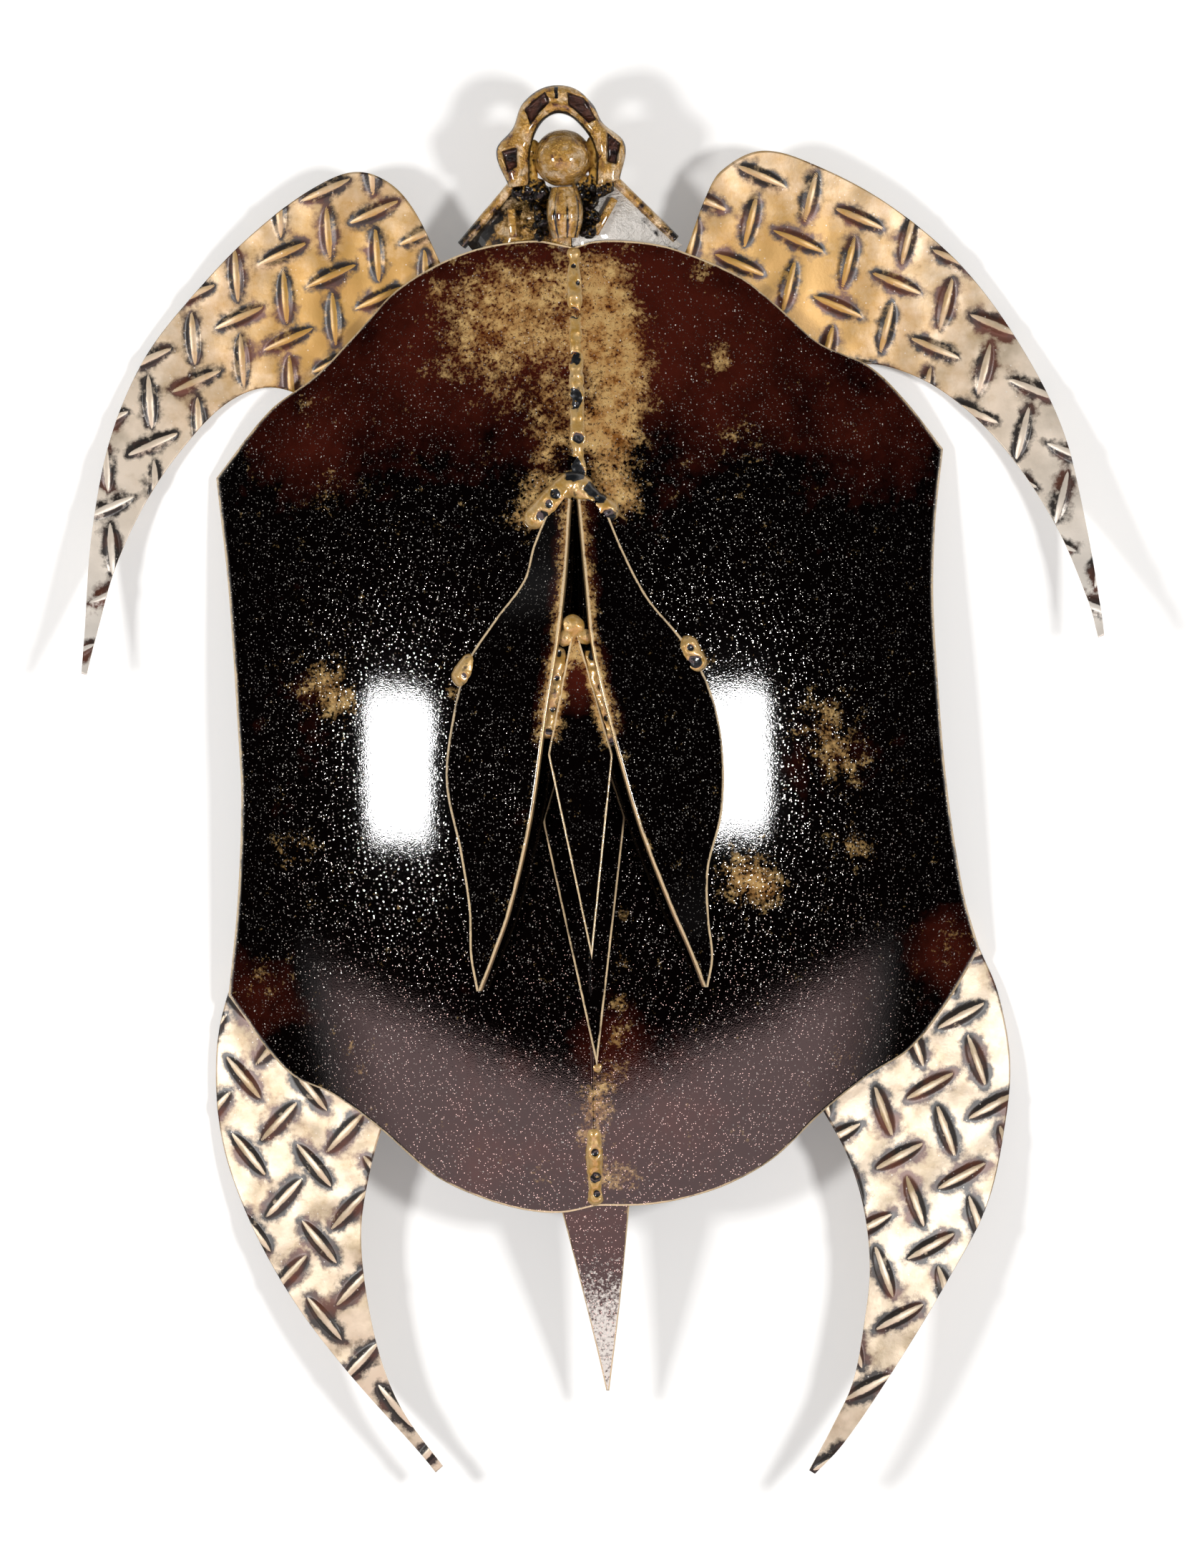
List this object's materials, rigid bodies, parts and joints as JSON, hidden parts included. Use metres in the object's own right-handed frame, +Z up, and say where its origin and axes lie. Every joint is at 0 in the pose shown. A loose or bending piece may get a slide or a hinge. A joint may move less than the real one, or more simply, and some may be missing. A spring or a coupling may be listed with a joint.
{
  "type": "turtle figurine",
  "caption": "Sea turtle figurine welded from bent sheet steel: arched shell with raised leaf plates, tread-plate flippers, tail, and a forged head with a steel ball.",
  "frame": {"origin": "middle of the footprint, at the height of the lowest points that it rests on", "axes": "+Y toward the head, +Z up out of the back, +X to the right as seen from above with the head away"},
  "size_m": [0.4478, 0.6098, 0.0845],
  "materials": {
    "lacquered_sheet": "dark patina under gloss lacquer",
    "tread_plate": "amber lacquered tread plate",
    "weld_bead": "lacquered weld bead",
    "head_steel": "polished steel under amber lacquer",
    "neck_weld": "dark spattered weld under lacquer"
  },
  "bodies": {
    "root": {"shell_left": "lacquered_sheet", "shell_right": "lacquered_sheet", "scute_left": "lacquered_sheet", "scute_right": "lacquered_sheet", "keel_front": "lacquered_sheet", "keel_rear": "lacquered_sheet", "tail": "lacquered_sheet", "front_flipper_left": "tread_plate", "front_flipper_right": "tread_plate", "rear_flipper_left": "tread_plate", "rear_flipper_right": "tread_plate", "front_ridge_weld": "weld_bead", "rear_ridge_weld": "weld_bead", "scute_fork_weld": "weld_bead", "scute_tack_left": "weld_bead", "scute_tack_right": "weld_bead", "keel_seam_left": "weld_bead", "keel_seam_right": "weld_bead", "keel_nose_weld": "weld_bead", "keel_tip_weld": "weld_bead", "keel_tack": "weld_bead", "tail_weld": "weld_bead", "front_flipper_left_welds": "weld_bead", "front_flipper_right_welds": "weld_bead", "rear_flipper_left_welds": "weld_bead", "rear_flipper_right_welds": "weld_bead", "head_ball": "head_steel", "head_cap": "head_steel", "neck_barrel": "head_steel", "neck_web_left": "head_steel", "neck_web_right": "head_steel", "neck_bar_left": "head_steel", "neck_bar_right": "head_steel", "neck_strut_left": "head_steel", "neck_strut_right": "head_steel", "neck_weld_left": "neck_weld", "neck_weld_right": "neck_weld"}
  },
  "joints": []
}
